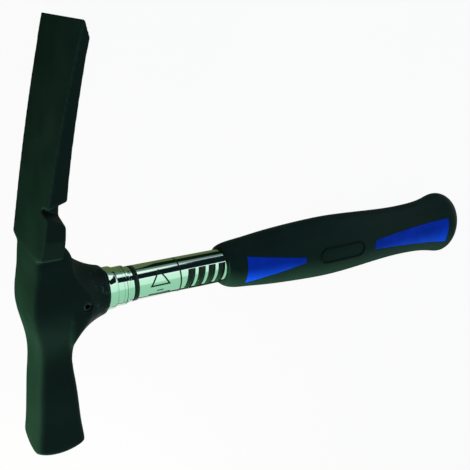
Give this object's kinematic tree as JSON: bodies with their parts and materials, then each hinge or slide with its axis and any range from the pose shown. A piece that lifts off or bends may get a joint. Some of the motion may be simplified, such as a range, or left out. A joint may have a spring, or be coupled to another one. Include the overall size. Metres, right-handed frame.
{
  "type": "masons hammer",
  "caption": "Mason's hammer with a square crowned poll, a leaning adze blade with a nail notch, a chromed tube handle and a soft oval grip with coloured inlays.",
  "frame": {"origin": "centre of the striking face's flat middle", "axes": "+X along the handle towards its butt, +Y from the poll towards the cutting edge, +Z out of the cheek above which the nail notch opens; the hammer lies on its other side"},
  "size_m": [0.2896, 0.2037, 0.054],
  "materials": {
    "head_paint": "dark stoved lacquer over forged steel, satin",
    "tube_chrome": "bright chrome plate",
    "pin_steel": "oiled spring steel",
    "core_wood": "plain turned ash",
    "plug_plastic": "moulded",
    "sleeve_film": "glossy printed film, bright metal showing through",
    "grip_rubber": "fine matt texture",
    "inlay_blue": "fine matt texture"
  },
  "bodies": {
    "root": {"hammer_head": "head_paint", "handle_tube": "tube_chrome", "tube_collar": "tube_chrome", "retaining_pin": "pin_steel", "damping_core": "core_wood", "tube_end_plug": "plug_plastic", "printed_sleeve": "sleeve_film", "grip_body": "grip_rubber", "front_inlay_top": "inlay_blue", "front_inlay_bottom": "inlay_blue", "rear_inlay_top": "inlay_blue", "rear_inlay_bottom": "inlay_blue"}
  },
  "joints": []
}
